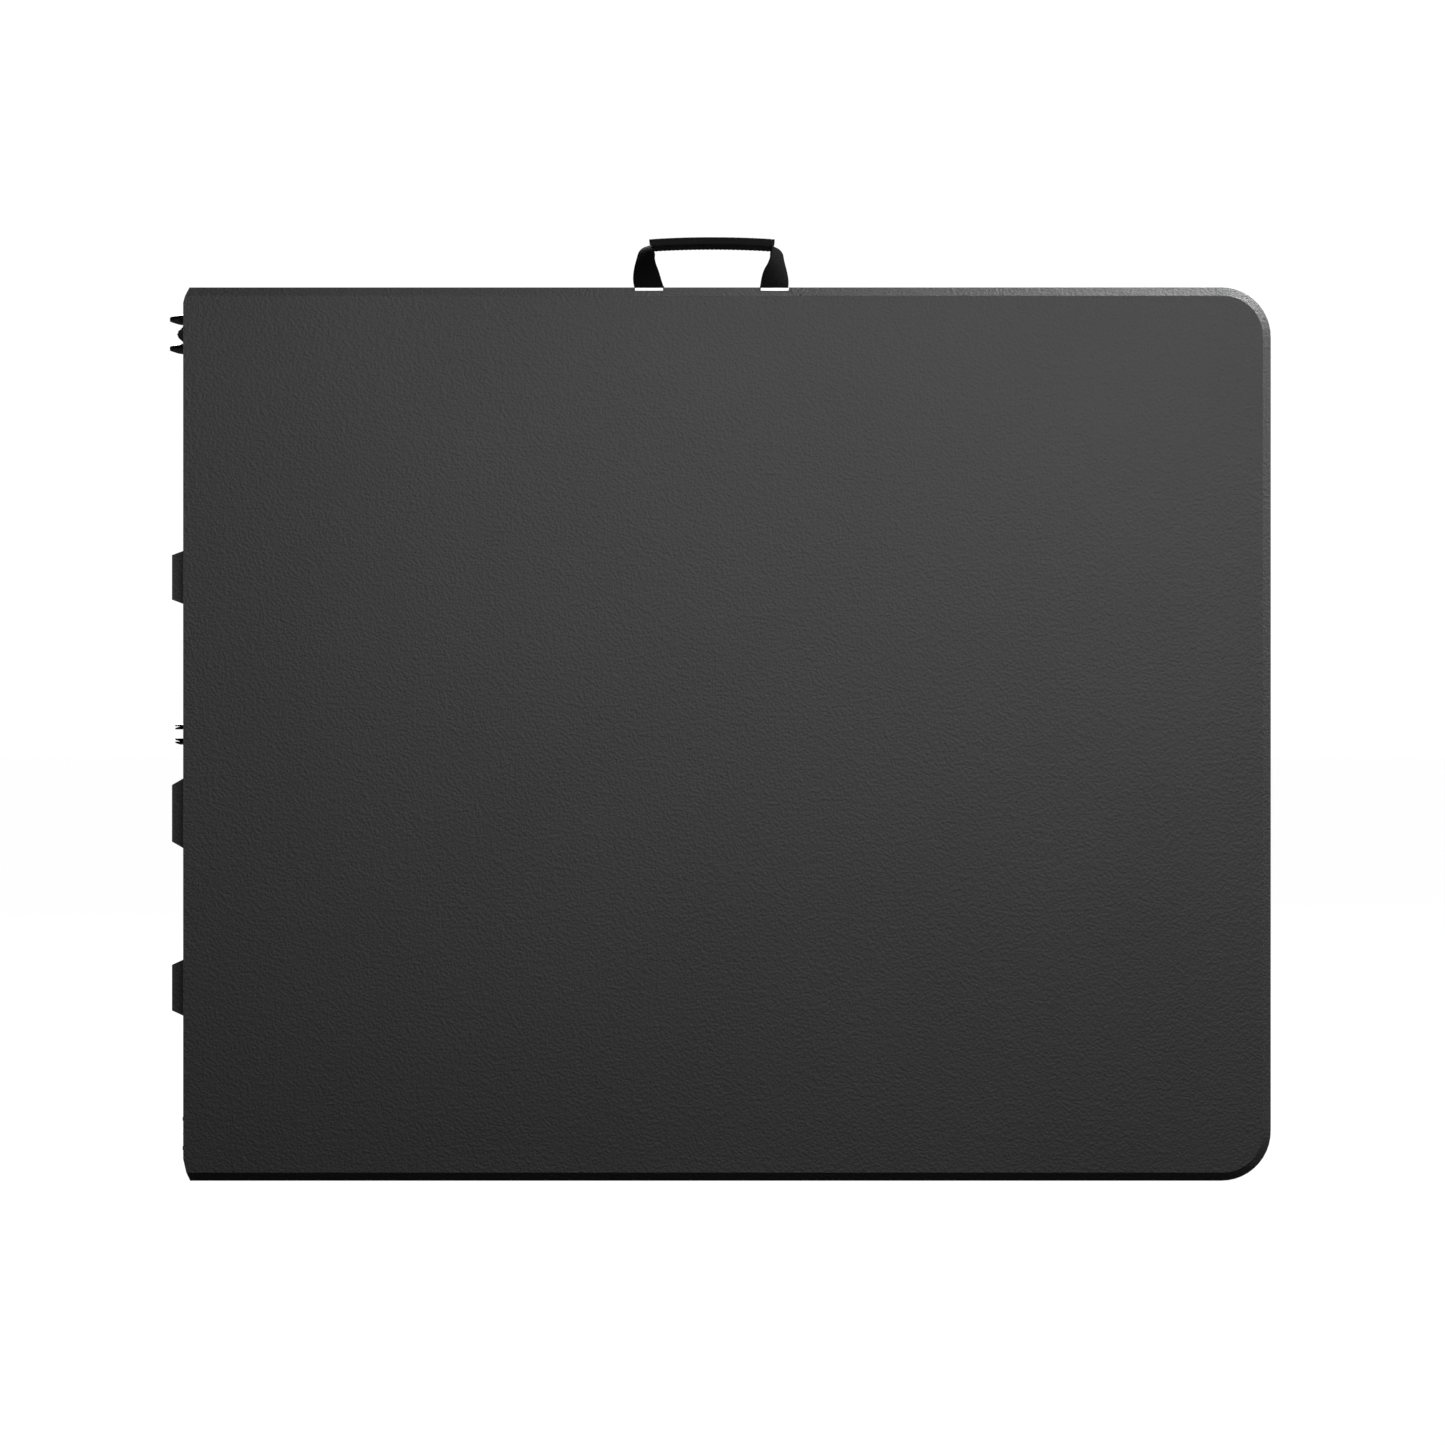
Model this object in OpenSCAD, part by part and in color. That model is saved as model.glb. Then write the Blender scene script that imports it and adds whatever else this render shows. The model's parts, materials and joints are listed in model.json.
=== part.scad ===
// Fold-in-half table, stored folded and standing on one long side.
// X runs from the fold line to the free end, Y through the folded thickness, Z up.
// Half B is the same set of parts as half A, turned half a turn about the line
// y = 0, z = width / 2, so the two halves mate with each other. The hinge at the
// foot of the folded table has smaller ears than the one at its top.

/* [Tabletop] */
// Length of one half, from the fold line to the free end
half_len = 900; // [880:1:920]
// Width of the tabletop
width = 740; // [720:2:760]
// Depth of the moulded rim
rim_depth = 48; // [47:0.5:50]
// Thickness of the top between the rims
top_t = 12; // [11:0.5:12]
// Outer radius of the free-end corners
corner_r = 41; // [35:1:45]
// Width of the bevel round the top face
bevel = 8; // [5:0.5:9]

/* [Legs] */
// Height of the open table
table_h = 720; // [710:1:725]
// Outer radius of a leg tube
leg_r = 11; // [10:0.5:11]
// Distance of the leg pivot from the free end
pivot_in = 30; // [29:0.5:32]
// Offset of half A's legs from the centre line
leg_off_a = 240; // [235:1:242]
// Offset of half B's legs from the centre line
leg_off_b = 275; // [272:1:276]

/* [Handle] */
// Length of the handle grip
grip_len = 105; // [95:1:112]
// Height of the grip's top above the table's side
handle_h = 46; // [44:1:55]
// Place of the handle's middle, from the fold line
handle_u = 437; // [420:1:460]

/* [Hidden] */
$fn = 64;
mid_z = width / 2;
ear_r = 19;
low_ear_r = 8.5;
origin_u = (half_len - ear_r) / 2;
fold_gap = 0.4;
side_rim = 22;
fold_rim = 26;
end_rim = 17;
floor_y = top_t - rim_depth;
groove_y = 5.5 - rim_depth;
groove_z = [80, 146];
wall = 1.2;
rail_z = 34;
rail_w = 14;
rail_h = 20;
rail_start = 32;
rail_end = half_len - end_rim - 11;
yoke_outer = 13.9;
yoke_inner = 10.6;
yoke_t = 3;
pin_r = 4;
run = 0.05;
bar_u = 45;
bar_y = -20;
bar_r = 9.5;
small_pin_r = 3;
small_ear_r = 14.5;
small_ear_t = 2.6;
pivot_u = half_len - pivot_in;
pivot_y = -14;
leg_len = table_h - rim_depth - pivot_y;
foot_r = 12;
foot_len = 18;
tip_y = -29.5;
lean = asin((pivot_y - tip_y) / leg_len);
cross_s = 300;
cross_u = pivot_u - cross_s;
cross_y = -15;
cross_r = 6.5;
link_y = -28.7;
link_r = 6.5;
arm_z = 8.5;
arm_t = 3;
// Tongue centres from the centre line, their root lengths and their tip lengths
tongues = [[130, 46, 37], [-65.7, 61, 47], [-210.4, 49, 38]];
tongue_out = 11;
tongue_y = [-36, -18];
peg_off = 300;
peg_u = half_len - end_rim / 2;
strap_y = -5;
strap_z = width + 1.6;
strap_dx = 52;
strap_w = 24;
strap_t = 1.6;
strap_bar_r = 1.8;
pocket_d = 3;

// Where the leg crossbar comes to when the leg stands square to the top
swing = 90 + lean;
open_u = pivot_u - cross_s * cos(swing) + (cross_y - pivot_y) * sin(swing);
open_y = pivot_y + cross_s * sin(swing) + (cross_y - pivot_y) * cos(swing);
reach = norm([open_u - bar_u, open_y - bar_y]);
// The elbow lies where the folded links add up to the straight brace's length
function link_sum(u) = norm([u - bar_u, link_y - bar_y]) + norm([u - cross_u, link_y - cross_y]);
function solve(lo, hi, n) = n == 0 ? (lo + hi) / 2
    : link_sum((lo + hi) / 2) > reach ? solve(lo, (lo + hi) / 2, n - 1)
    : solve((lo + hi) / 2, hi, n - 1);
elbow_u = solve(cross_u, pivot_u, 40);

PAIR_NODES = ["tabletop", "rail_low", "rail_high", "fold_bar", "centre_hinge", "snap_peg", "snap_cup",
    "rail_screws", "pivot_brackets", "leg_clips", "leg_low", "leg_high", "leg_axle", "leg_crossbar",
    "leg_feet", "brace_upper", "brace_lower", "elbow_rivets"];

// Placing

module on_a() {
    translate([-origin_u, 0, 0]) children();
}

module on_b() {
    translate([-origin_u, 0, width]) rotate([180, 0, 0]) children();
}

// A flat outline drawn in X and Y, raised between two heights
module slab(z0, z1) {
    translate([0, 0, z0]) linear_extrude(z1 - z0) children();
}

// A flat outline drawn in X and Z, given depth between two Y values
module plate(y0, y1) {
    translate([0, y1, 0]) rotate([90, 0, 0]) linear_extrude(y1 - y0) children();
}

// A box between two corners
module block(a, b) {
    translate(a) cube(b - a);
}

// A rod along Z between two heights
module rod(u, y, r, z0, z1) {
    translate([u, y, z0]) cylinder(r = r, h = z1 - z0);
}

// A tube along Z between two heights
module pipe(u, y, r_out, r_in, z0, z1) {
    difference() {
        rod(u, y, r_out, z0, z1);
        rod(u, y, r_in, z0 - 1, z1 + 1);
    }
}

// A rod along Y between two Y values
module stud(u, z, r, y0, y1) {
    translate([u, y1, z]) rotate([90, 0, 0]) cylinder(r = r, h = y1 - y0);
}

// Tabletop

module top_blank() {
    edge = bevel - rim_depth;
    difference() {
        intersection() {
            slab(0, width) polygon([[fold_gap, -rim_depth], [half_len - bevel, -rim_depth],
                [half_len, edge], [half_len, 0], [fold_gap, 0]]);
            rotate([90, 0, 90]) linear_extrude(half_len) polygon([[-rim_depth, bevel], [edge, 0],
                [0, 0], [0, width], [edge, width], [-rim_depth, width - bevel]]);
        }
        for (z = [0, width - corner_r])
            block([half_len - corner_r, -rim_depth - 1, z - 1], [half_len + 1, 1, z + corner_r + 1]);
    }
    for (z = [corner_r, width - corner_r]) {
        stud(half_len - corner_r, z, corner_r, edge, 0);
        translate([half_len - corner_r, edge, z]) rotate([90, 0, 0])
            cylinder(r1 = corner_r, r2 = corner_r - bevel, h = bevel);
    }
}

module fold_corner_cuts() {
    plate(-rim_depth - 1, 1) polygon([[-1, width + 1], [4.5, width + 1], [0, width - 15], [-1, width - 15]]);
    plate(-rim_depth - 1, 1) polygon([[-1, -1], [5, -1], [0, 21], [-1, 21]]);
}

module recess() {
    r = corner_r - end_rim;
    u0 = fold_rim;
    u1 = half_len - end_rim;
    z0 = side_rim;
    z1 = width - side_rim;
    block([u0, floor_y, z0], [u1 - r, 1, z1]);
    block([u1 - r - 1, floor_y, z0 + r], [u1, 1, z1 - r]);
    for (z = [z0 + r, z1 - r]) stud(u1 - r, z, r, floor_y, 1);
    for (z = [groove_z[0], width - groove_z[1]])
        block([150, groove_y, z], [u1, floor_y + 1, z + groove_z[1] - groove_z[0]]);
    for (i = [0:4])
        for (j = [-1:1])
            block([90 + i * 152, floor_y - 2, mid_z + j * 146 - 60],
                [210 + i * 152, floor_y + 1, mid_z + j * 146 + 60]);
}

module hinge_notches() {
    for (z = [rail_z, width - rail_z]) block([-1, -37, z - 18.5], [rail_start + 2, 1, z + 18.5]);
    block([-1, -30, mid_z - 11.5], [fold_rim + 1, 1, mid_z + 11.5]);
}

module tongue_shape(t, grow, out) {
    polygon([[1, mid_z + t[0] - t[1] / 2 - grow], [-out, mid_z + t[0] - t[2] / 2 - grow],
        [-out, mid_z + t[0] + t[2] / 2 + grow], [1, mid_z + t[0] + t[1] / 2 + grow]]);
}

// Recesses in the side for the handle's anchors
module anchor_pockets() {
    for (s = [-1, 1])
        translate([handle_u + s * strap_dx, 0, width - pocket_d]) {
            block([-11.8, -rim_depth - 1, 0], [11.8, -12, pocket_d + 1]);
            block([-15.8, -14, 0], [15.8, 1, pocket_d + 1]);
        }
}

module tabletop() {
    color([0.07, 0.07, 0.07]) difference() {
        union() {
            top_blank();
            for (t = tongues) plate(tongue_y[0], tongue_y[1]) tongue_shape(t, 0, tongue_out);
        }
        fold_corner_cuts();
        recess();
        hinge_notches();
        for (t = tongues)
            translate([0, 0, width]) mirror([1, 0, 0]) mirror([0, 0, 1])
                plate(tongue_y[0] - 2.5, tongue_y[1] + 1) tongue_shape(t, 1, tongue_out + 1.5);
        anchor_pockets();
        anchor_screw_shanks();
        rail_screw_shanks();
        stud(peg_u, mid_z + peg_off, 3.5, -12, 1);
        stud(peg_u, mid_z - peg_off, 5.5, -12, 1);
    }
}

// Rails and hinges

// A hinge ear with a thinned edge: flat on the side facing z = 0, r outer radius
module ear_disc(r, t, bore, thin) {
    rotate_extrude() polygon([[bore, 0], [r, 0], [r, t - thin], [r * 0.72, t], [bore, t]]);
}

// An ear and its arm, with its flat side at height z and its thickness running in direction dir
module ear(z, dir, r, t, bore, arm) {
    translate([0, 0, z]) mirror([0, 0, dir < 0 ? 1 : 0]) {
        ear_disc(r, t, bore, t * 0.6);
        difference() {
            linear_extrude(t) polygon(arm);
            cylinder(r = r * 0.9, h = 3 * t, center = true);
        }
    }
}

module rail_body(z) {
    y0 = floor_y;
    difference() {
        block([rail_start, y0, z - rail_w / 2], [rail_end, y0 + rail_h, z + rail_w / 2]);
        block([rail_start - 1, y0 + wall, z - rail_w / 2 + wall],
            [rail_end + 1, y0 + rail_h - wall, z + rail_w / 2 - wall]);
        rail_screw_shanks();
    }
}

// side = 1 puts the ears' thinned edge outwards, -1 inwards; r is the ears' radius
module rail(z, off, side, r) {
    arm = [[-0.16 * r, -0.97 * r], [rail_start, floor_y], [rail_start, floor_y + 24], [0.84 * r, 0.47 * r]];
    color([0.02, 0.02, 0.02]) {
        rail_body(z);
        for (s = [-1, 1]) ear(z + s * (off - side * yoke_t / 2), s * side, r, yoke_t, pin_r + run, arm);
        block([rail_start - 3, floor_y, z - off], [rail_start, floor_y + rail_h, z + off]);
    }
}

module rail_low(r) {
    rail(rail_z, yoke_inner, -1, r);
}

module rail_high(r) {
    rail(width - rail_z, yoke_outer, 1, r);
}

module rail_screw_shanks() {
    for (u = [120:240:840])
        for (z = [rail_z, width - rail_z]) stud(u, z, 2, -44, floor_y + rail_h + 1);
}

module rail_screws() {
    color([0.6, 0.6, 0.6])
        for (u = [120:240:840])
            for (z = [rail_z, width - rail_z]) {
                stud(u, z, 2, -44, floor_y + rail_h);
                stud(u, z, 4.5, floor_y + rail_h, floor_y + rail_h + 2.4);
            }
}

module fold_bar() {
    end = rail_z + rail_w / 2;
    color([0.02, 0.02, 0.02]) pipe(bar_u, bar_y, bar_r, bar_r - wall, end, width - end);
}

module centre_hinge() {
    arm = [[-3, 0.3 - small_ear_r], [bar_u, bar_y - 12], [bar_u, bar_y + 12], [small_ear_r - 4, 9]];
    color([0.02, 0.02, 0.02]) difference() {
        for (k = [[1, 6.4], [-1, 3.8]])
            translate([0, 0, mid_z + k[0] * k[1]]) mirror([0, 0, k[0] < 0 ? 1 : 0]) {
                ear_disc(small_ear_r, small_ear_t, small_pin_r + run, 1.4);
                difference() {
                    linear_extrude(small_ear_t) polygon(arm);
                    cylinder(r = small_ear_r * 0.9, h = 9, center = true);
                }
                translate([bar_u, bar_y, 0]) cylinder(r = 12, h = small_ear_t);
            }
        rod(bar_u, bar_y, bar_r, mid_z - 20, mid_z + 20);
    }
}

module hinge_pin(z) {
    color([0.3, 0.3, 0.3]) {
        rod(0, 0, pin_r, z - 17.4, z + 17.4);
        rod(0, 0, 6.5, z + 15.6, z + 17.4);
        rod(0, 0, 6.5, z - 17.4, z - 15.6);
    }
}

module hinge_pin_centre() {
    color([0.3, 0.3, 0.3]) {
        rod(0, 0, small_pin_r, mid_z - 10.6, mid_z + 10.6);
        rod(0, 0, 5, mid_z + 9, mid_z + 10.6);
        rod(0, 0, 5, mid_z - 10.6, mid_z - 9);
    }
}

// A waisted bush between the inner ears, r its greatest radius
module hinge_roller(z, r) {
    color([0.3, 0.3, 0.3]) translate([0, 0, z]) rotate_extrude()
        polygon([[pin_r, -8.8], [0.54 * r, -8.8], [0.66 * r, -6], [0.91 * r, -3], [r, 0], [0.91 * r, 3],
            [0.66 * r, 6], [0.54 * r, 8.8], [pin_r, 8.8]]);
}

// Catch

module snap_peg() {
    color([0.05, 0.05, 0.05]) {
        stud(peg_u, mid_z + peg_off, 3.5, -12, 5);
        translate([peg_u, 5, mid_z + peg_off]) rotate([-90, 0, 0]) cylinder(r1 = 3.5, r2 = 2, h = 3);
    }
}

module snap_cup() {
    color([0.05, 0.05, 0.05]) difference() {
        stud(peg_u, mid_z - peg_off, 5.5, -12, 0);
        stud(peg_u, mid_z - peg_off, 3.8, -10, 1);
    }
}

// Legs

module pivot_brackets(off) {
    color([0.05, 0.05, 0.05])
        for (s = [-1, 1]) {
            z = mid_z + s * off;
            difference() {
                union() {
                    rod(pivot_u, pivot_y, 12.5, z - 6, z + 6);
                    block([pivot_u - 12.5, groove_y, z - 6], [pivot_u + 12.5, pivot_y, z + 6]);
                }
                rod(pivot_u, pivot_y, bar_r + run, z - 8, z + 8);
            }
        }
}

module leg_clips(off) {
    color([0.05, 0.05, 0.05])
        for (s = [-1, 1])
            for (side = [-1, 1]) {
                z = mid_z + s * off + side * (leg_r + 1.6);
                block([410, groove_y, z - 1.2], [430, -16, z + 1.2]);
            }
}

// Turns a part drawn along +X from the pivot into the folded leg's direction
module along_leg(z) {
    translate([pivot_u, pivot_y, z]) rotate([0, 0, 180 + lean]) rotate([0, 90, 0]) children();
}

module leg(z) {
    color([0.02, 0.02, 0.02]) difference() {
        along_leg(z) cylinder(r = leg_r, h = leg_len - foot_len);
        along_leg(z) translate([0, 0, 16]) cylinder(r = leg_r - wall, h = leg_len);
        rod(pivot_u, pivot_y, bar_r, z - 20, z + 20);
    }
}

module leg_axle(out) {
    color([0.02, 0.02, 0.02]) pipe(pivot_u, pivot_y, bar_r, bar_r - wall, mid_z - out, mid_z + out);
}

module leg_crossbar(off) {
    color([0.02, 0.02, 0.02]) difference() {
        rod(cross_u, cross_y, cross_r, mid_z - off, mid_z + off);
        for (s = [-1, 1]) along_leg(mid_z + s * off) cylinder(r = leg_r, h = leg_len);
    }
}

module leg_feet(off) {
    color([0.08, 0.08, 0.08])
        for (s = [-1, 1])
            along_leg(mid_z + s * off) difference() {
                union() {
                    translate([0, 0, leg_len - foot_len - 14]) cylinder(r = foot_r, h = foot_len + 12);
                    translate([0, 0, leg_len - 2]) cylinder(r1 = foot_r, r2 = foot_r - 2, h = 2);
                }
                translate([0, 0, leg_len - foot_len - 15]) cylinder(r = leg_r, h = 15);
            }
}

// Braces

module brace_upper() {
    start = bar_u + 25;
    color([0.02, 0.02, 0.02]) {
        for (s = [-1, 1])
            translate([0, 0, mid_z + s * 15]) difference() {
                union() {
                    rod(bar_u, bar_y, bar_r + 2.4, -4, 4);
                    block([bar_u, link_y - 4, -4], [start + 4, link_y + 8, 4]);
                }
                rod(bar_u, bar_y, bar_r + run, -5, 5);
            }
        block([start, link_y - 4, mid_z - 11], [start + 4, link_y + 8, mid_z + 11]);
        difference() {
            translate([start + 4, link_y, mid_z]) rotate([0, 90, 0])
                cylinder(r = link_r, h = elbow_u + 12 - start - 4);
            translate([start + 5, link_y, mid_z]) rotate([0, 90, 0]) cylinder(r = link_r - wall, h = reach);
            rod(elbow_u, link_y, 3.2, mid_z - 10, mid_z + 10);
        }
    }
}

module brace_lower() {
    angle = atan2(link_y - cross_y, elbow_u - cross_u);
    len = norm([link_y - cross_y, elbow_u - cross_u]);
    color([0.02, 0.02, 0.02])
        for (s = [0, 1])
            translate([cross_u, cross_y, mid_z]) mirror([0, 0, s]) rotate([0, 0, angle]) difference() {
                union() {
                    rod(0, 0, cross_r + 1.5, arm_z, arm_z + 7);
                    block([0, -cross_r, arm_z], [len, cross_r, arm_z + arm_t]);
                    rod(len, 0, cross_r, arm_z, arm_z + arm_t);
                }
                rod(0, 0, cross_r + run, 0, 20);
                rod(len, 0, small_pin_r, 0, 20);
            }
}

module elbow_rivets() {
    color([0.6, 0.6, 0.6])
        for (s = [-1, 1]) translate([elbow_u, link_y, mid_z]) mirror([0, 0, s < 0 ? 1 : 0]) {
            rod(0, 0, small_pin_r, arm_z - 0.6, arm_z + arm_t);
            rod(0, 0, 5, arm_z + arm_t, arm_z + arm_t + 1.8);
        }
}

// Handle

module at_straps() {
    for (s = [-1, 1]) translate([handle_u + s * strap_dx, 0, 0]) children();
}

module anchor_screw_shanks() {
    at_straps() rod(0, -24, 2, width - 20, width + 1);
}

module strap_anchors() {
    base = width - pocket_d;
    color([0.85, 0.85, 0.85]) at_straps() difference() {
        union() {
            block([-11.5, -rim_depth + 5.5, base], [11.5, -12, base + 2.2]);
            block([-15.4, -12, base], [15.4, -0.4, base + 2.2]);
            for (s = [-1, 1]) translate([s * 14.4, strap_y, strap_z]) rotate([0, 90, 0])
                cylinder(r = 3.2, h = 2, center = true);
            for (s = [-1, 1]) block([s * 14.4 - 1, strap_y - 3.2, base + 1], [s * 14.4 + 1, strap_y + 3.2, strap_z]);
        }
        block([-12.8, strap_y - 4.2, base - 1], [12.8, strap_y + 4.2, base + 3]);
        translate([0, strap_y, strap_z]) rotate([0, 90, 0]) cylinder(r = strap_bar_r, h = 40, center = true);
        rod(0, -24, 2, base - 1, base + 3);
    }
}

module strap_bars() {
    color([0.7, 0.7, 0.7]) at_straps() translate([0, strap_y, strap_z]) rotate([0, 90, 0])
        cylinder(r = strap_bar_r, h = 30.8, center = true);
}

module anchor_screws() {
    color([0.7, 0.7, 0.7]) at_straps() {
        rod(0, -24, 2, width - 20, width - 0.8);
        rod(0, -24, 4.2, width - 0.8, width + 0.6);
    }
}

grip_z = width + handle_h - 9;
strap_lift = 4;

module handle_strap() {
    top = grip_z + 3;
    color([0.02, 0.02, 0.02]) {
        for (s = [-1, 1]) translate([handle_u + s * strap_dx, strap_y, 0]) {
            difference() {
                union() {
                    translate([0, 0, strap_z]) rotate([0, 90, 0])
                        cylinder(r = strap_bar_r + run + strap_t, h = strap_w, center = true);
                    block([-strap_w / 2, -strap_t, strap_z], [strap_w / 2, strap_t, strap_z + strap_lift]);
                }
                translate([0, 0, strap_z]) rotate([0, 90, 0])
                    cylinder(r = strap_bar_r + run, h = 40, center = true);
            }
            hull() {
                block([-strap_w / 2, -strap_t, strap_z + strap_lift - 1],
                    [strap_w / 2, strap_t, strap_z + strap_lift]);
                translate([-s * 3, 0, 0]) block([-4, -strap_w / 2, top - 1], [4, strap_w / 2, top]);
            }
        }
    }
}

module handle_grip() {
    bow = 2.4;
    half = grip_len / 2;
    steps = 12;
    function rise(x) = bow * (1 - pow(x / half, 2));
    low = [for (i = [0:steps]) let (x = -half + i * grip_len / steps) [x, grip_z - bow + rise(x)]];
    high = [for (i = [steps:-1:0]) let (x = -half + i * grip_len / steps) [x, grip_z + 9 - bow + rise(x)]];
    color([0.02, 0.02, 0.02]) difference() {
        translate([handle_u, 0, 0]) plate(strap_y - 13, strap_y + 13) polygon(concat(low, high));
        for (s = [-1, 1]) translate([handle_u + s * (strap_dx - 3), strap_y, 0])
            block([-4, -strap_w / 2, grip_z - 5], [4, strap_w / 2, grip_z + 3]);
    }
}

// The assembly

on_a() tabletop();  // tabletop_a
on_a() rail_low(low_ear_r);  // rail_low_a
on_a() rail_high(ear_r);  // rail_high_a
on_a() fold_bar();  // fold_bar_a
on_a() centre_hinge();  // centre_hinge_a
on_a() snap_peg();  // snap_peg_a
on_a() snap_cup();  // snap_cup_a
on_a() rail_screws();  // rail_screws_a
on_a() pivot_brackets(leg_off_a + 20);  // pivot_brackets_a
on_a() leg_clips(leg_off_a);  // leg_clips_a
on_a() leg(mid_z - leg_off_a);  // leg_low_a
on_a() leg(mid_z + leg_off_a);  // leg_high_a
on_a() leg_axle(leg_off_a + 28);  // leg_axle_a
on_a() leg_crossbar(leg_off_a);  // leg_crossbar_a
on_a() leg_feet(leg_off_a);  // leg_feet_a
on_a() brace_upper();  // brace_upper_a
on_a() brace_lower();  // brace_lower_a
on_a() elbow_rivets();  // elbow_rivets_a
on_b() tabletop();  // tabletop_b
on_b() rail_low(ear_r);  // rail_low_b
on_b() rail_high(low_ear_r);  // rail_high_b
on_b() fold_bar();  // fold_bar_b
on_b() centre_hinge();  // centre_hinge_b
on_b() snap_peg();  // snap_peg_b
on_b() snap_cup();  // snap_cup_b
on_b() rail_screws();  // rail_screws_b
on_b() pivot_brackets(leg_off_b - 20);  // pivot_brackets_b
on_b() leg_clips(leg_off_b);  // leg_clips_b
on_b() leg(mid_z - leg_off_b);  // leg_low_b
on_b() leg(mid_z + leg_off_b);  // leg_high_b
on_b() leg_axle(leg_off_b + 11);  // leg_axle_b
on_b() leg_crossbar(leg_off_b);  // leg_crossbar_b
on_b() leg_feet(leg_off_b);  // leg_feet_b
on_b() brace_upper();  // brace_upper_b
on_b() brace_lower();  // brace_lower_b
on_b() elbow_rivets();  // elbow_rivets_b
on_a() hinge_pin(rail_z);  // hinge_pin_low
on_a() hinge_pin(width - rail_z);  // hinge_pin_high
on_a() hinge_pin_centre();
on_a() hinge_roller(rail_z, low_ear_r - 0.3);  // hinge_roller_low
on_a() hinge_roller(width - rail_z, ear_r - 6);  // hinge_roller_high
on_a() strap_anchors();
on_a() strap_bars();
on_a() anchor_screws();
on_a() handle_strap();
on_a() handle_grip();
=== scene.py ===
import json
import math

import bmesh
import bpy
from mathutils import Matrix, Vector


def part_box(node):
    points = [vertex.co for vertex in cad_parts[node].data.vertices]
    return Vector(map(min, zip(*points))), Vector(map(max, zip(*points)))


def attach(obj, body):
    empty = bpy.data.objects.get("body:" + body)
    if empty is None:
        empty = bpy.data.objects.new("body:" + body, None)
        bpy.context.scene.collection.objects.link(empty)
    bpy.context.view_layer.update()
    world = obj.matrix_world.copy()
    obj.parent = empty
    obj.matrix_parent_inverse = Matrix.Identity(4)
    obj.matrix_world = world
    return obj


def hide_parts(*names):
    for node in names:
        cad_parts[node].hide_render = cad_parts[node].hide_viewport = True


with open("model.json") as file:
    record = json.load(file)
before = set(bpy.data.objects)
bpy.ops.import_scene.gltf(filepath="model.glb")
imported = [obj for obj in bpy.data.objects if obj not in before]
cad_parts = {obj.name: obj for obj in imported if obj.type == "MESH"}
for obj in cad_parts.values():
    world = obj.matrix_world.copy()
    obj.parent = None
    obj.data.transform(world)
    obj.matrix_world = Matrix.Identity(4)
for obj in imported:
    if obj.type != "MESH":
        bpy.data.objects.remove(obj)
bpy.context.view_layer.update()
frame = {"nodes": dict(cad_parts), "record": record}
nodes = frame["nodes"]
MM = 0.001

# Where things are, read from the frame
TOP_LO, TOP_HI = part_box("tabletop_a")
WIDTH = TOP_HI.z
RIM = -TOP_LO.y
BAR_LO, BAR_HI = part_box("strap_bars")
BAR = (BAR_LO + BAR_HI) / 2
GRIP_LO, GRIP_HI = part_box("handle_grip")
STRAP_LO, STRAP_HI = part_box("handle_strap")


# Camera, at the height and distance of a straight-on product view

CAMERA_DISTANCE = 2.5
VIEW_WIDTH = 1.1932
VIEW_CENTRE_IN = 0.4542  # from the free end to the middle of the view
VIEW_CENTRE_UP = 0.0096  # above the middle of the tabletop
SENSOR = 36.0


def make_camera():
    data = bpy.data.cameras.new("camera")
    data.sensor_width = SENSOR
    data.lens = SENSOR * CAMERA_DISTANCE / VIEW_WIDTH
    camera = bpy.data.objects.new("camera", data)
    camera.location = (TOP_HI.x - VIEW_CENTRE_IN, -RIM - CAMERA_DISTANCE, WIDTH / 2 + VIEW_CENTRE_UP)
    camera.rotation_euler = (math.pi / 2, 0, 0)
    bpy.context.scene.collection.objects.link(camera)
    bpy.context.scene.camera = camera


# Node helpers

def new_material(name):
    material = bpy.data.materials.new(name)
    material.use_nodes = True
    tree = material.node_tree
    return material, tree, tree.nodes["Principled BSDF"]


def add(tree, kind, **inputs):
    node = tree.nodes.new(kind)
    for key, value in inputs.items():
        node.inputs[key.replace("_", " ")].default_value = value
    return node


def object_coords(tree, scale=(1, 1, 1)):
    coords = tree.nodes.new("ShaderNodeTexCoord")
    mapping = tree.nodes.new("ShaderNodeMapping")
    mapping.inputs["Scale"].default_value = scale
    tree.links.new(coords.outputs["Object"], mapping.inputs["Vector"])
    return mapping.outputs["Vector"]


def noise(tree, vector, scale, detail=2.0, rough=0.5):
    node = add(tree, "ShaderNodeTexNoise", Scale=scale, Detail=detail, Roughness=rough)
    tree.links.new(vector, node.inputs["Vector"])
    return node.outputs["Fac"]


def ramp(tree, factor, low, high, start=0.3, stop=0.7):
    node = tree.nodes.new("ShaderNodeValToRGB")
    for element, place, value in zip(node.color_ramp.elements, (start, stop), (low, high)):
        element.position = place
        element.color = (*value, 1) if isinstance(value, tuple) else (value, value, value, 1)
    tree.links.new(factor, node.inputs["Fac"])
    return node.outputs["Color"]


def math_node(tree, operation, a, b):
    node = tree.nodes.new("ShaderNodeMath")
    node.operation = operation
    for socket, value in zip(node.inputs, (a, b)):
        if isinstance(value, (int, float)):
            socket.default_value = value
        else:
            tree.links.new(value, socket)
    return node.outputs[0]


def bump(tree, height, distance, strength=1.0, under=None):
    node = add(tree, "ShaderNodeBump", Distance=distance, Strength=strength)
    tree.links.new(height, node.inputs["Height"])
    if under is not None:
        tree.links.new(under, node.inputs["Normal"])
    return node.outputs["Normal"]


# Materials

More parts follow.
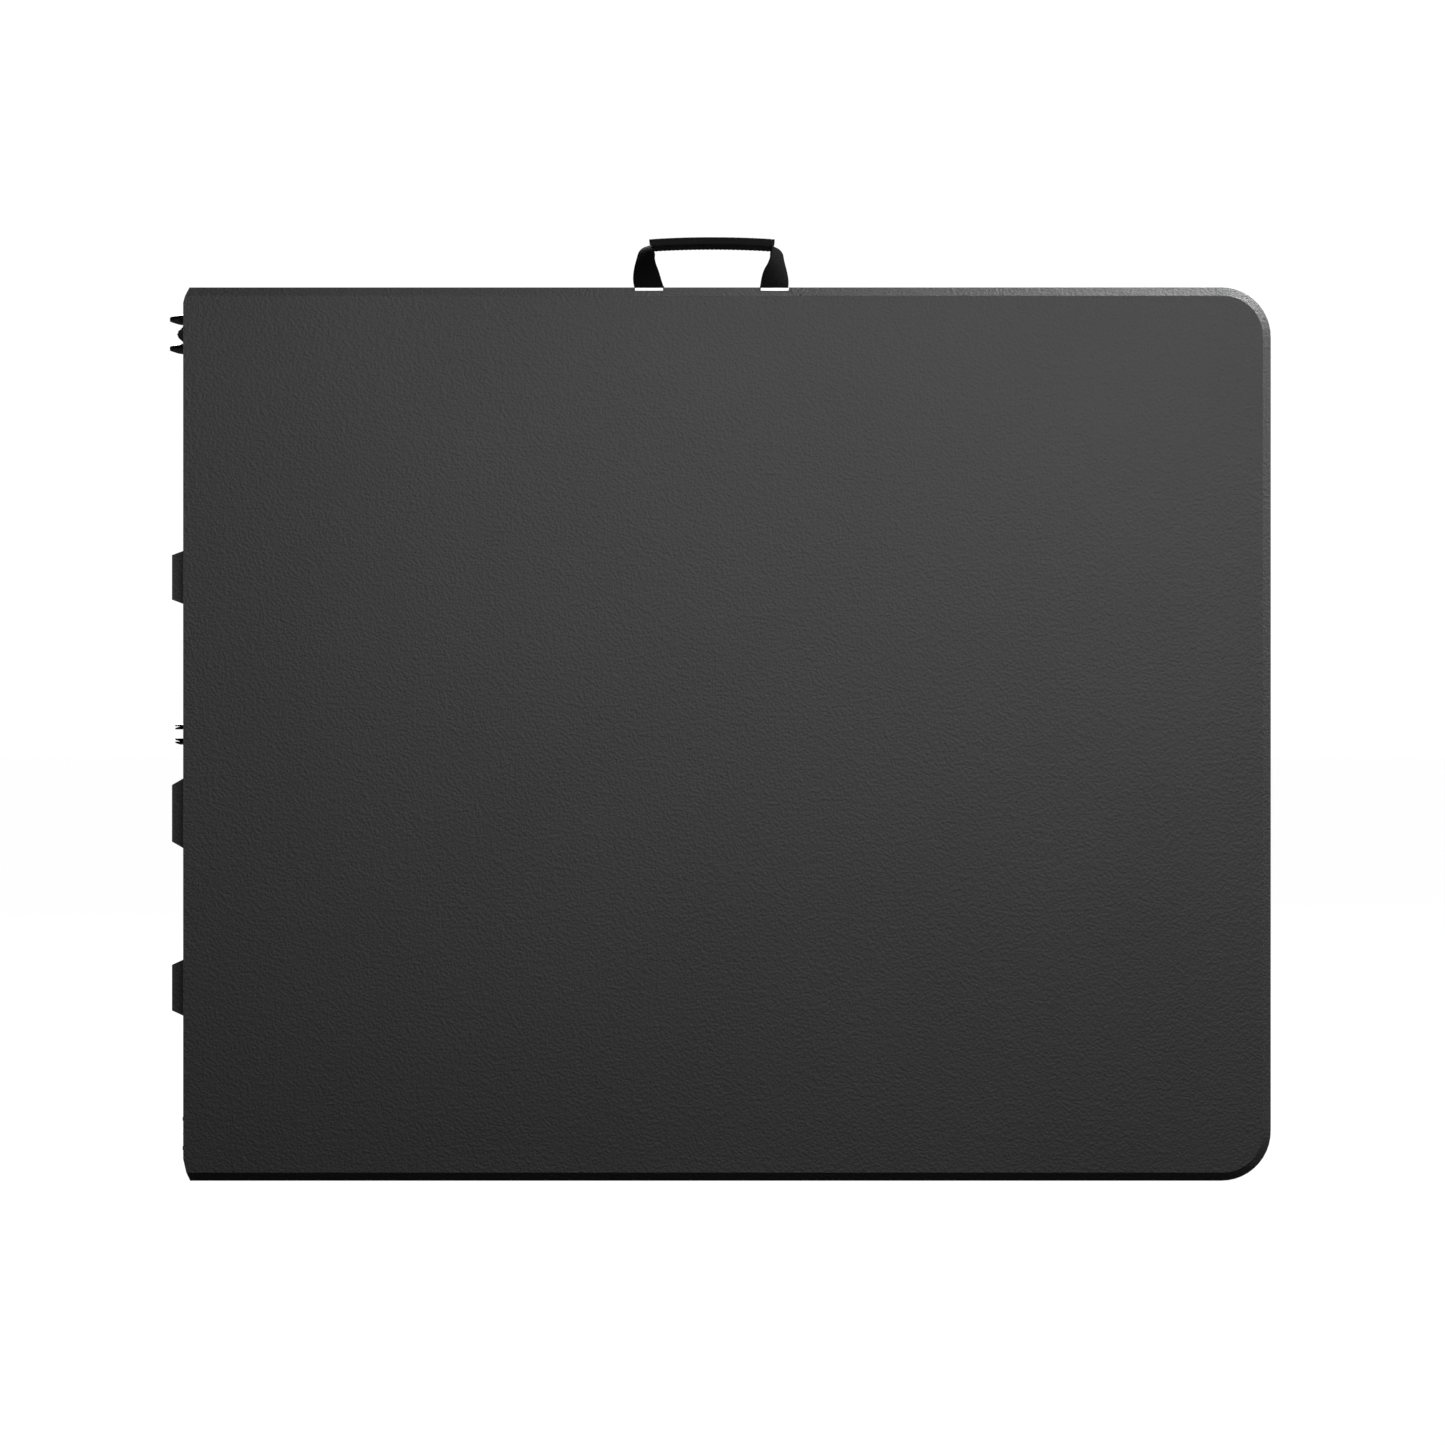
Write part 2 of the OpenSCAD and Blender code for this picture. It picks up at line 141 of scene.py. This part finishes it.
def top_plastic():
    """Blow-moulded polyethylene: a fine pebble grain over faint mottling."""
    material, tree, shader = new_material("top_plastic")
    at = object_coords(tree)
    cells = add(tree, "ShaderNodeTexVoronoi", Scale=480.0, Randomness=1.0)
    cells.feature = "SMOOTH_F1"
    tree.links.new(at, cells.inputs["Vector"])
    fine = noise(tree, at, 1100.0, 3.0, 0.6)
    coarse = noise(tree, at, 7.0, 4.0, 0.55)
    grain = math_node(tree, "ADD", cells.outputs["Distance"], math_node(tree, "MULTIPLY", fine, 0.7))
    mottled = math_node(tree, "ADD", math_node(tree, "MULTIPLY", coarse, 0.2),
                        math_node(tree, "MULTIPLY", fine, 0.8))
    tree.links.new(ramp(tree, mottled, (0.040, 0.040, 0.041), (0.062, 0.062, 0.063)),
                   shader.inputs["Base Color"])
    tree.links.new(ramp(tree, fine, 0.50, 0.66), shader.inputs["Roughness"])
    shader.inputs["Specular IOR Level"].default_value = 0.42
    waves = bump(tree, coarse, 0.0008, 0.12)
    tree.links.new(bump(tree, grain, 0.0006, 1.0, waves), shader.inputs["Normal"])
    return material


def black_steel():
    """Powder-coated tube: near black, satin, with a fine orange peel and slightly worn patches."""
    material, tree, shader = new_material("black_steel")
    at = object_coords(tree)
    peel = noise(tree, at, 900.0, 2.0)
    wear = noise(tree, at, 35.0, 5.0, 0.65)
    tree.links.new(ramp(tree, wear, (0.004, 0.004, 0.0041), (0.008, 0.008, 0.0084)),
                   shader.inputs["Base Color"])
    tree.links.new(ramp(tree, wear, 0.34, 0.5), shader.inputs["Roughness"])
    shader.inputs["Specular IOR Level"].default_value = 0.45
    tree.links.new(bump(tree, peel, 0.00012, 0.6), shader.inputs["Normal"])
    return material


def moulded(name, dark, light, rough, grain_scale=1400.0, spec=0.35):
    """A small injection-moulded part: fine spark-eroded grain and a little colour variation."""
    material, tree, shader = new_material(name)
    at = object_coords(tree)
    grain = noise(tree, at, grain_scale, 2.0, 0.6)
    cloud = noise(tree, at, 60.0, 4.0)
    tree.links.new(ramp(tree, cloud, dark, light), shader.inputs["Base Color"])
    tree.links.new(ramp(tree, grain, rough - 0.08, rough + 0.08), shader.inputs["Roughness"])
    shader.inputs["Specular IOR Level"].default_value = spec
    tree.links.new(bump(tree, grain, 0.0001, 0.7), shader.inputs["Normal"])
    return material


def plated(name, tint, rough):
    """Plated steel with fine turning lines and faint clouding."""
    material, tree, shader = new_material(name)
    lines = noise(tree, object_coords(tree, (1, 1, 18)), 500.0, 3.0)
    cloud = noise(tree, object_coords(tree), 120.0, 3.0)
    tree.links.new(ramp(tree, cloud, tuple(0.82 * c for c in tint), tint), shader.inputs["Base Color"])
    tree.links.new(ramp(tree, lines, rough - 0.07, rough + 0.1), shader.inputs["Roughness"])
    shader.inputs["Metallic"].default_value = 1.0
    tree.links.new(bump(tree, lines, 0.00005, 0.5), shader.inputs["Normal"])
    return material


def webbing():
    """Woven nylon: ribs across the strap, crossed by warp threads, from the ribbon's own UVs."""
    material, tree, shader = new_material("webbing")
    uv = tree.nodes.new("ShaderNodeUVMap")
    uv.uv_map = "weave"
    heights = []
    for direction in ("X", "Y"):
        wave = add(tree, "ShaderNodeTexWave", Scale=1.0, Distortion=0.0)
        wave.bands_direction = direction
        tree.links.new(uv.outputs["UV"], wave.inputs["Vector"])
        heights.append(wave.outputs["Fac"])
    weave = math_node(tree, "MULTIPLY", heights[0], heights[1])
    tree.links.new(ramp(tree, weave, (0.0005, 0.0005, 0.0005), (0.003, 0.003, 0.0032), 0.0, 1.0),
                   shader.inputs["Base Color"])
    shader.inputs["Roughness"].default_value = 0.85
    shader.inputs["Specular IOR Level"].default_value = 0.1
    shader.inputs["Sheen Weight"].default_value = 0.01
    tree.links.new(bump(tree, weave, 0.0003, 0.8), shader.inputs["Normal"])
    return material


MATERIALS = {
    "top_plastic": top_plastic(),
    "black_steel": black_steel(),
    "black_plastic": moulded("black_plastic", (0.010,) * 3, (0.018,) * 3, 0.5),
    "grip_plastic": moulded("grip_plastic", (0.001,) * 3, (0.003,) * 3, 0.7, spec=0.15),
    "foot_plastic": moulded("foot_plastic", (0.016,) * 3, (0.026,) * 3, 0.6),
    "roller_plastic": moulded("roller_plastic", (0.045,) * 3, (0.085,) * 3, 0.45),
    "zinc_steel": plated("zinc_steel", (0.55, 0.56, 0.58), 0.35),
    "bright_steel": plated("bright_steel", (0.92, 0.92, 0.93), 0.5),
    "webbing": webbing(),
}


def dress(obj, name):
    obj.data.materials.clear()
    obj.data.materials.append(MATERIALS[name])


def dress_cad_nodes():
    for row in frame["record"]["subparts"]:
        obj = nodes[row["node"]]
        for material_slot in obj.material_slots:
            material_slot.material = MATERIALS[row["material_slot"]]


# Mesh helpers

def make_object(name, bm, material, body):
    mesh = bpy.data.meshes.new(name)
    bmesh.ops.recalc_face_normals(bm, faces=bm.faces)
    bm.to_mesh(mesh)
    bm.free()
    for polygon in mesh.polygons:
        polygon.use_smooth = True
    obj = bpy.data.objects.new(name, mesh)
    bpy.context.scene.collection.objects.link(obj)
    dress(obj, material)
    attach(obj, body)
    return obj


def sweep(bm, rings, closed=False):
    """Joins rings of points into a tube with flat ends, or into a ring when closed."""
    rows = [[bm.verts.new(p) for p in ring] for ring in rings]
    count = len(rows[0])
    pairs = list(zip(rows, rows[1:] + rows[:1])) if closed else list(zip(rows, rows[1:]))
    for a, b in pairs:
        for i in range(count):
            j = (i + 1) % count
            bm.faces.new((a[i], a[j], b[j], b[i]))
    if not closed:
        bm.faces.new(rows[0])
        bm.faces.new(rows[-1])
    return rows


def rounded_profile(half_w, half_t, radius, steps=4):
    """Points round a rectangle with rounded corners, as (across, through) pairs."""
    points = []
    for corner in range(4):
        sx = 1 if corner in (0, 3) else -1
        sy = 1 if corner < 2 else -1
        for k in range(steps + 1):
            angle = math.pi / 2 * (corner + k / steps)
            points.append((sx * (half_w - radius) + radius * math.cos(angle),
                           sy * (half_t - radius) + radius * math.sin(angle)))
    return points


def torus(bm, centre, axis, big, small, around=40, section=10):
    turn = Vector(axis).normalized().to_track_quat("Z", "Y")
    rings = []
    for i in range(around):
        a = 2 * math.pi * i / around
        ring = []
        for j in range(section):
            b = 2 * math.pi * j / section
            r = big + small * math.cos(b)
            local = Vector((r * math.cos(a), r * math.sin(a), small * math.sin(b)))
            ring.append(Vector(centre) + turn @ local)
        rings.append(ring)
    sweep(bm, rings, closed=True)


def smooth_step(value):
    value = min(max(value, 0.0), 1.0)
    return value * value * (3 - 2 * value)


# Handle

STRAP_HALF_W = 11.8 * MM
STRAP_HALF_T = 0.75 * MM
LOOP_R = 2.62 * MM
TAIL = 4.6 * MM  # how far the sewn end stands up behind its bar


def strap_route(side):
    """Centre line and width direction of one strap leg: round its bar, then up into the grip."""
    centre_x = (STRAP_LO.x + STRAP_HI.x) / 2
    leg_x = (STRAP_HI.x - STRAP_LO.x) / 2 - 12 * MM
    across = Vector((1, 0, 0))
    route = []
    for k in range(6):
        rise = TAIL * (1 - k / 6)
        route.append((Vector((centre_x + side * leg_x, BAR.y + LOOP_R * (1 - 0.5 * rise / TAIL),
                              BAR.z + rise)), across))
    for k in range(17):
        angle = math.pi * k / 16
        route.append((Vector((centre_x + side * leg_x, BAR.y + LOOP_R * math.cos(angle),
                              BAR.z - LOOP_R * math.sin(angle))), across))
    foot = BAR.z + 1 * MM
    if side < 0:
        top, bulge, shoulder, twist, twist_end = GRIP_LO.z + 7.2 * MM, 6 * MM, 6.5 * MM, 0.56, 0.6
    else:
        top, bulge, shoulder, twist, twist_end = GRIP_LO.z + 6.4 * MM, 1 * MM, 8 * MM, 0.69, 0.6
    points_x = (leg_x, leg_x + bulge, leg_x + shoulder, leg_x - 6 * MM)
    points_z = (foot, foot + 14 * MM, top, top)
    steps = 40
    for k in range(1, steps + 1):
        t = k / steps
        weights = ((1 - t) ** 3, 3 * t * (1 - t) ** 2, 3 * t * t * (1 - t), t ** 3)
        x = sum(w * p for w, p in zip(weights, points_x))
        z = sum(w * p for w, p in zip(weights, points_z))
        y = BAR.y - LOOP_R * (1 - smooth_step(t / 0.4))
        late = (1 - twist) * smooth_step((t - 0.6) / 0.4)
        turn = math.pi / 2 * (twist * smooth_step(t / twist_end) + late)
        width = Vector((math.cos(turn), side * math.sin(turn), 0))
        route.append((Vector((centre_x + side * x, y, z)), width))
    return route


def make_strap(side, name):
    route = strap_route(side)
    profile = rounded_profile(STRAP_HALF_W, STRAP_HALF_T, 0.6 * MM, 3)
    bm = bmesh.new()
    rings = []
    lengths = [0.0]
    for i, (centre, width) in enumerate(route):
        ahead = route[min(i + 1, len(route) - 1)][0]
        behind = route[max(i - 1, 0)][0]
        tangent = (ahead - behind).normalized()
        width = (width - tangent * width.dot(tangent)).normalized()
        through = tangent.cross(width)
        rings.append([centre + width * a + through * b for a, b in profile])
        if i:
            lengths.append(lengths[-1] + (centre - route[i - 1][0]).length)
    rows = sweep(bm, rings)
    layer = bm.loops.layers.uv.new("weave")
    place = {}
    for row, length in zip(rows, lengths):
        for vert, (a, _) in zip(row, profile):
            place[vert] = (length / MM * 0.16, a / MM * 0.22)
    for face in bm.faces:
        for loop in face.loops:
            loop[layer].uv = place[loop.vert]
    return make_object(name, bm, "webbing", "handle")


def make_stitches(side, name):
    """A short row of thread across the foot of the strap, just above its bar."""
    bm = bmesh.new()
    centre_x = (STRAP_LO.x + STRAP_HI.x) / 2 + side * ((STRAP_HI.x - STRAP_LO.x) / 2 - 12 * MM)
    for k in range(7):
        x = centre_x + (k - 3) * 2.9 * MM
        made = bmesh.ops.create_uvsphere(bm, u_segments=10, v_segments=6, radius=1.0)["verts"]
        for vert in made:
            vert.co = Vector((x + vert.co.x * 1.1 * MM, BAR.y - LOOP_R - 0.05 * MM + vert.co.y * 0.75 * MM,
                              BAR.z + 2.6 * MM + vert.co.z * 0.32 * MM))
    return make_object(name, bm, "black_plastic", "handle")


def make_grip():
    """A bowed bar with soft edges, a thin overhanging lip at each end and fine ribs underneath."""
    bm = bmesh.new()
    centre = (GRIP_LO + GRIP_HI) / 2
    half_len = (GRIP_HI.x - GRIP_LO.x) / 2
    half_deep = (GRIP_HI.y - GRIP_LO.y) / 2 - 0.3 * MM
    bow = 1.7 * MM
    thick = 8.2 * MM
    rings = []
    stations = 211
    profile = rounded_profile(1.0, 1.0, 0.45, 5)
    for i in range(stations):
        s = -1 + 2 * i / (stations - 1)
        x = s * half_len
        top = GRIP_HI.z - bow * s * s - 0.3 * MM * smooth_step((abs(s) - 0.9) / 0.1)
        end = smooth_step((abs(x) - (half_len - 1.8 * MM)) / (0.7 * MM))
        rib = 0.28 * MM * (0.5 - 0.5 * math.cos(2 * math.pi * x / (3.6 * MM))) * (1 - end)
        depth = thick * (1 - end) + 3.2 * MM * end - rib
        deep = half_deep - 0.5 * MM * smooth_step((abs(s) - 0.96) / 0.04)
        tip = smooth_step((half_len - abs(x)) / (0.9 * MM))
        depth *= 0.55 + 0.45 * tip
        mid = top - depth / 2 - 0.2 * MM * (1 - tip)
        rings.append([Vector((centre.x + x, centre.y + a * deep, mid + b * depth / 2)) for a, b in profile])
    sweep(bm, rings)
    return make_object("grip_moulding", bm, "grip_plastic", "handle")


# Small things that the frame leaves out

def make_welds(name, spots, body):
    bm = bmesh.new()
    for centre, axis, radius in spots:
        torus(bm, centre, axis, radius, 1.1 * MM)
    return make_object(name, bm, "black_steel", body)


def weld_all():
    for half in "ab":
        bar_lo, bar_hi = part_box("fold_bar_" + half)
        bar = (bar_lo + bar_hi) / 2
        radius = (bar_hi.x - bar_lo.x) / 2
        spots = [((bar.x, bar.y, z), (0, 0, 1), radius) for z in (bar_lo.z + 0.6 * MM, bar_hi.z - 0.6 * MM)]
        make_welds("rail_welds_" + half, spots, "half_" + half)
        axle_lo, axle_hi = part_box("leg_axle_" + half)
        cross_lo, cross_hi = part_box("leg_crossbar_" + half)
        axle = (axle_lo + axle_hi) / 2
        cross = (cross_lo + cross_hi) / 2
        spots = []
        for leg in ("leg_low_", "leg_high_"):
            leg_lo, leg_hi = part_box(leg + half)
            inside = leg_hi.z if leg_hi.z < WIDTH / 2 else leg_lo.z
            spots.append(((axle.x, axle.y, inside), (0, 0, 1), (axle_hi.x - axle_lo.x) / 2))
            spots.append(((cross.x, cross.y, inside), (0, 0, 1), (cross_hi.x - cross_lo.x) / 2))
        make_welds("leg_welds_" + half, spots, "leg_frame_" + half)


CORNER_R = 41 * MM  # the tabletop's free-end corners
SEAM_LEN = 0.894  # from the free end to just short of the fold corner


def seam_points(y):
    """The line round the side of a half, from one fold corner to the other, with its outward direction."""
    left = TOP_HI.x - SEAM_LEN
    step = (SEAM_LEN - CORNER_R) / 60
    points = [(Vector((left + k * step, y, 0)), Vector((0, 0, -1))) for k in range(60)]
    for centre_z, start in ((CORNER_R, -90), (WIDTH - CORNER_R, 0)):
        for k in range(13):
            angle = math.radians(start + 90 * k / 12)
            out = Vector((math.cos(angle), 0, math.sin(angle)))
            points.append((Vector((TOP_HI.x - CORNER_R, y, centre_z)) + out * CORNER_R, out))
    points += [(Vector((p.x, y, WIDTH)), Vector((0, 0, 1))) for p, _ in reversed(points[:60])]
    return points


def make_seam(half, y, skip_z):
    """The thin flash line where the two sides of the mould met, left out across the anchor recesses."""
    bm = bmesh.new()
    anchors_lo, anchors_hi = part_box("strap_anchors")
    margin = 4 * MM
    runs = [[]]
    for point, out in seam_points(y):
        beside = anchors_lo.x - margin < point.x < anchors_hi.x + margin
        if abs(point.z - skip_z) > MM or not beside:
            runs[-1].append((point, out))
        elif runs[-1]:
            runs.append([])
    for run in runs:
        if len(run) < 2:
            continue
        rings = []
        for point, out in run:
            across = Vector((0, 1, 0))
            rings.append([point + out * (0.35 * MM * math.sin(a)) + across * (0.5 * MM * math.cos(a))
                          for a in [math.radians(60 * k) for k in range(6)]])
        sweep(bm, rings)
    return make_object("mould_seam_" + half, bm, "top_plastic", "half_" + half)


# Stage and light

def make_floor():
    bm = bmesh.new()
    half = 30.0
    corners = ((-half, -half, 0), (half, -half, 0), (half, half, 0), (-half, half, 0))
    bm.faces.new([bm.verts.new(p) for p in corners])
    mesh = bpy.data.meshes.new("floor")
    bm.to_mesh(mesh)
    bm.free()
    floor = bpy.data.objects.new("floor", mesh)
    bpy.context.scene.collection.objects.link(floor)
    material, tree, shader = new_material("floor")
    shader.inputs["Base Color"].default_value = (0.05, 0.05, 0.05, 1)
    shader.inputs["Roughness"].default_value = 1.0
    shader.inputs["Specular IOR Level"].default_value = 0.0
    path = tree.nodes.new("ShaderNodeLightPath")
    glow = math_node(tree, "MULTIPLY", path.outputs["Is Camera Ray"], 0.99)
    shader.inputs["Emission Color"].default_value = (1, 1, 1, 1)
    tree.links.new(glow, shader.inputs["Emission Strength"])
    floor.data.materials.append(material)


def make_world():
    world = bpy.data.worlds.new("studio")
    bpy.context.scene.world = world
    world.use_nodes = True
    tree = world.node_tree
    background = tree.nodes["Background"]
    background.inputs["Color"].default_value = (1, 1, 1, 1)
    path = tree.nodes.new("ShaderNodeLightPath")
    strength = math_node(tree, "ADD", path.outputs["Is Camera Ray"], 0.03)
    tree.links.new(strength, background.inputs["Strength"])


def area_light(name, place, target, size, power):
    data = bpy.data.lights.new(name, "AREA")
    data.shape = "RECTANGLE"
    data.size, data.size_y = size
    data.energy = power
    light = bpy.data.objects.new(name, data)
    light.location = place
    light.visible_camera = False
    light.rotation_euler = (Vector(target) - Vector(place)).to_track_quat("-Z", "Y").to_euler()
    bpy.context.scene.collection.objects.link(light)


def make_lights():
    area_light("front", (0.375, -1.0, 0.88), (0.25, -0.05, 0.7), (1.75, 0.5), 12.2)
    area_light("upper_right", (0.62, 0.08, 1.35), (0.42, -0.04, 0.74), (0.3, 0.3), 7.6)
    area_light("corner", (0.98, 0.13, 1.22), (0.44, -0.04, 0.72), (0.22, 0.22), 6)
    area_light("back", (-0.7, 2.4, 1.9), (-0.2, 0.05, 0.4), (1.8, 1.4), 120)
    area_light("right", (2.4, 0.55, 1.2), (0.46, 0.05, 0.4), (0.8, 0.8), 9)


make_camera()
dress_cad_nodes()
straps = [make_strap(-1, "strap_left"), make_strap(1, "strap_right")]
make_stitches(-1, "stitches_left")
make_stitches(1, "stitches_right")
for strap in straps:
    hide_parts("handle_strap")
grip = make_grip()
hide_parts("handle_grip")
weld_all()
make_seam("a", -0.42 * RIM, WIDTH)
make_seam("b", 0.42 * RIM, 0.0)
make_floor()
make_world()
make_lights()
bpy.context.scene.view_settings.view_transform = "Standard"
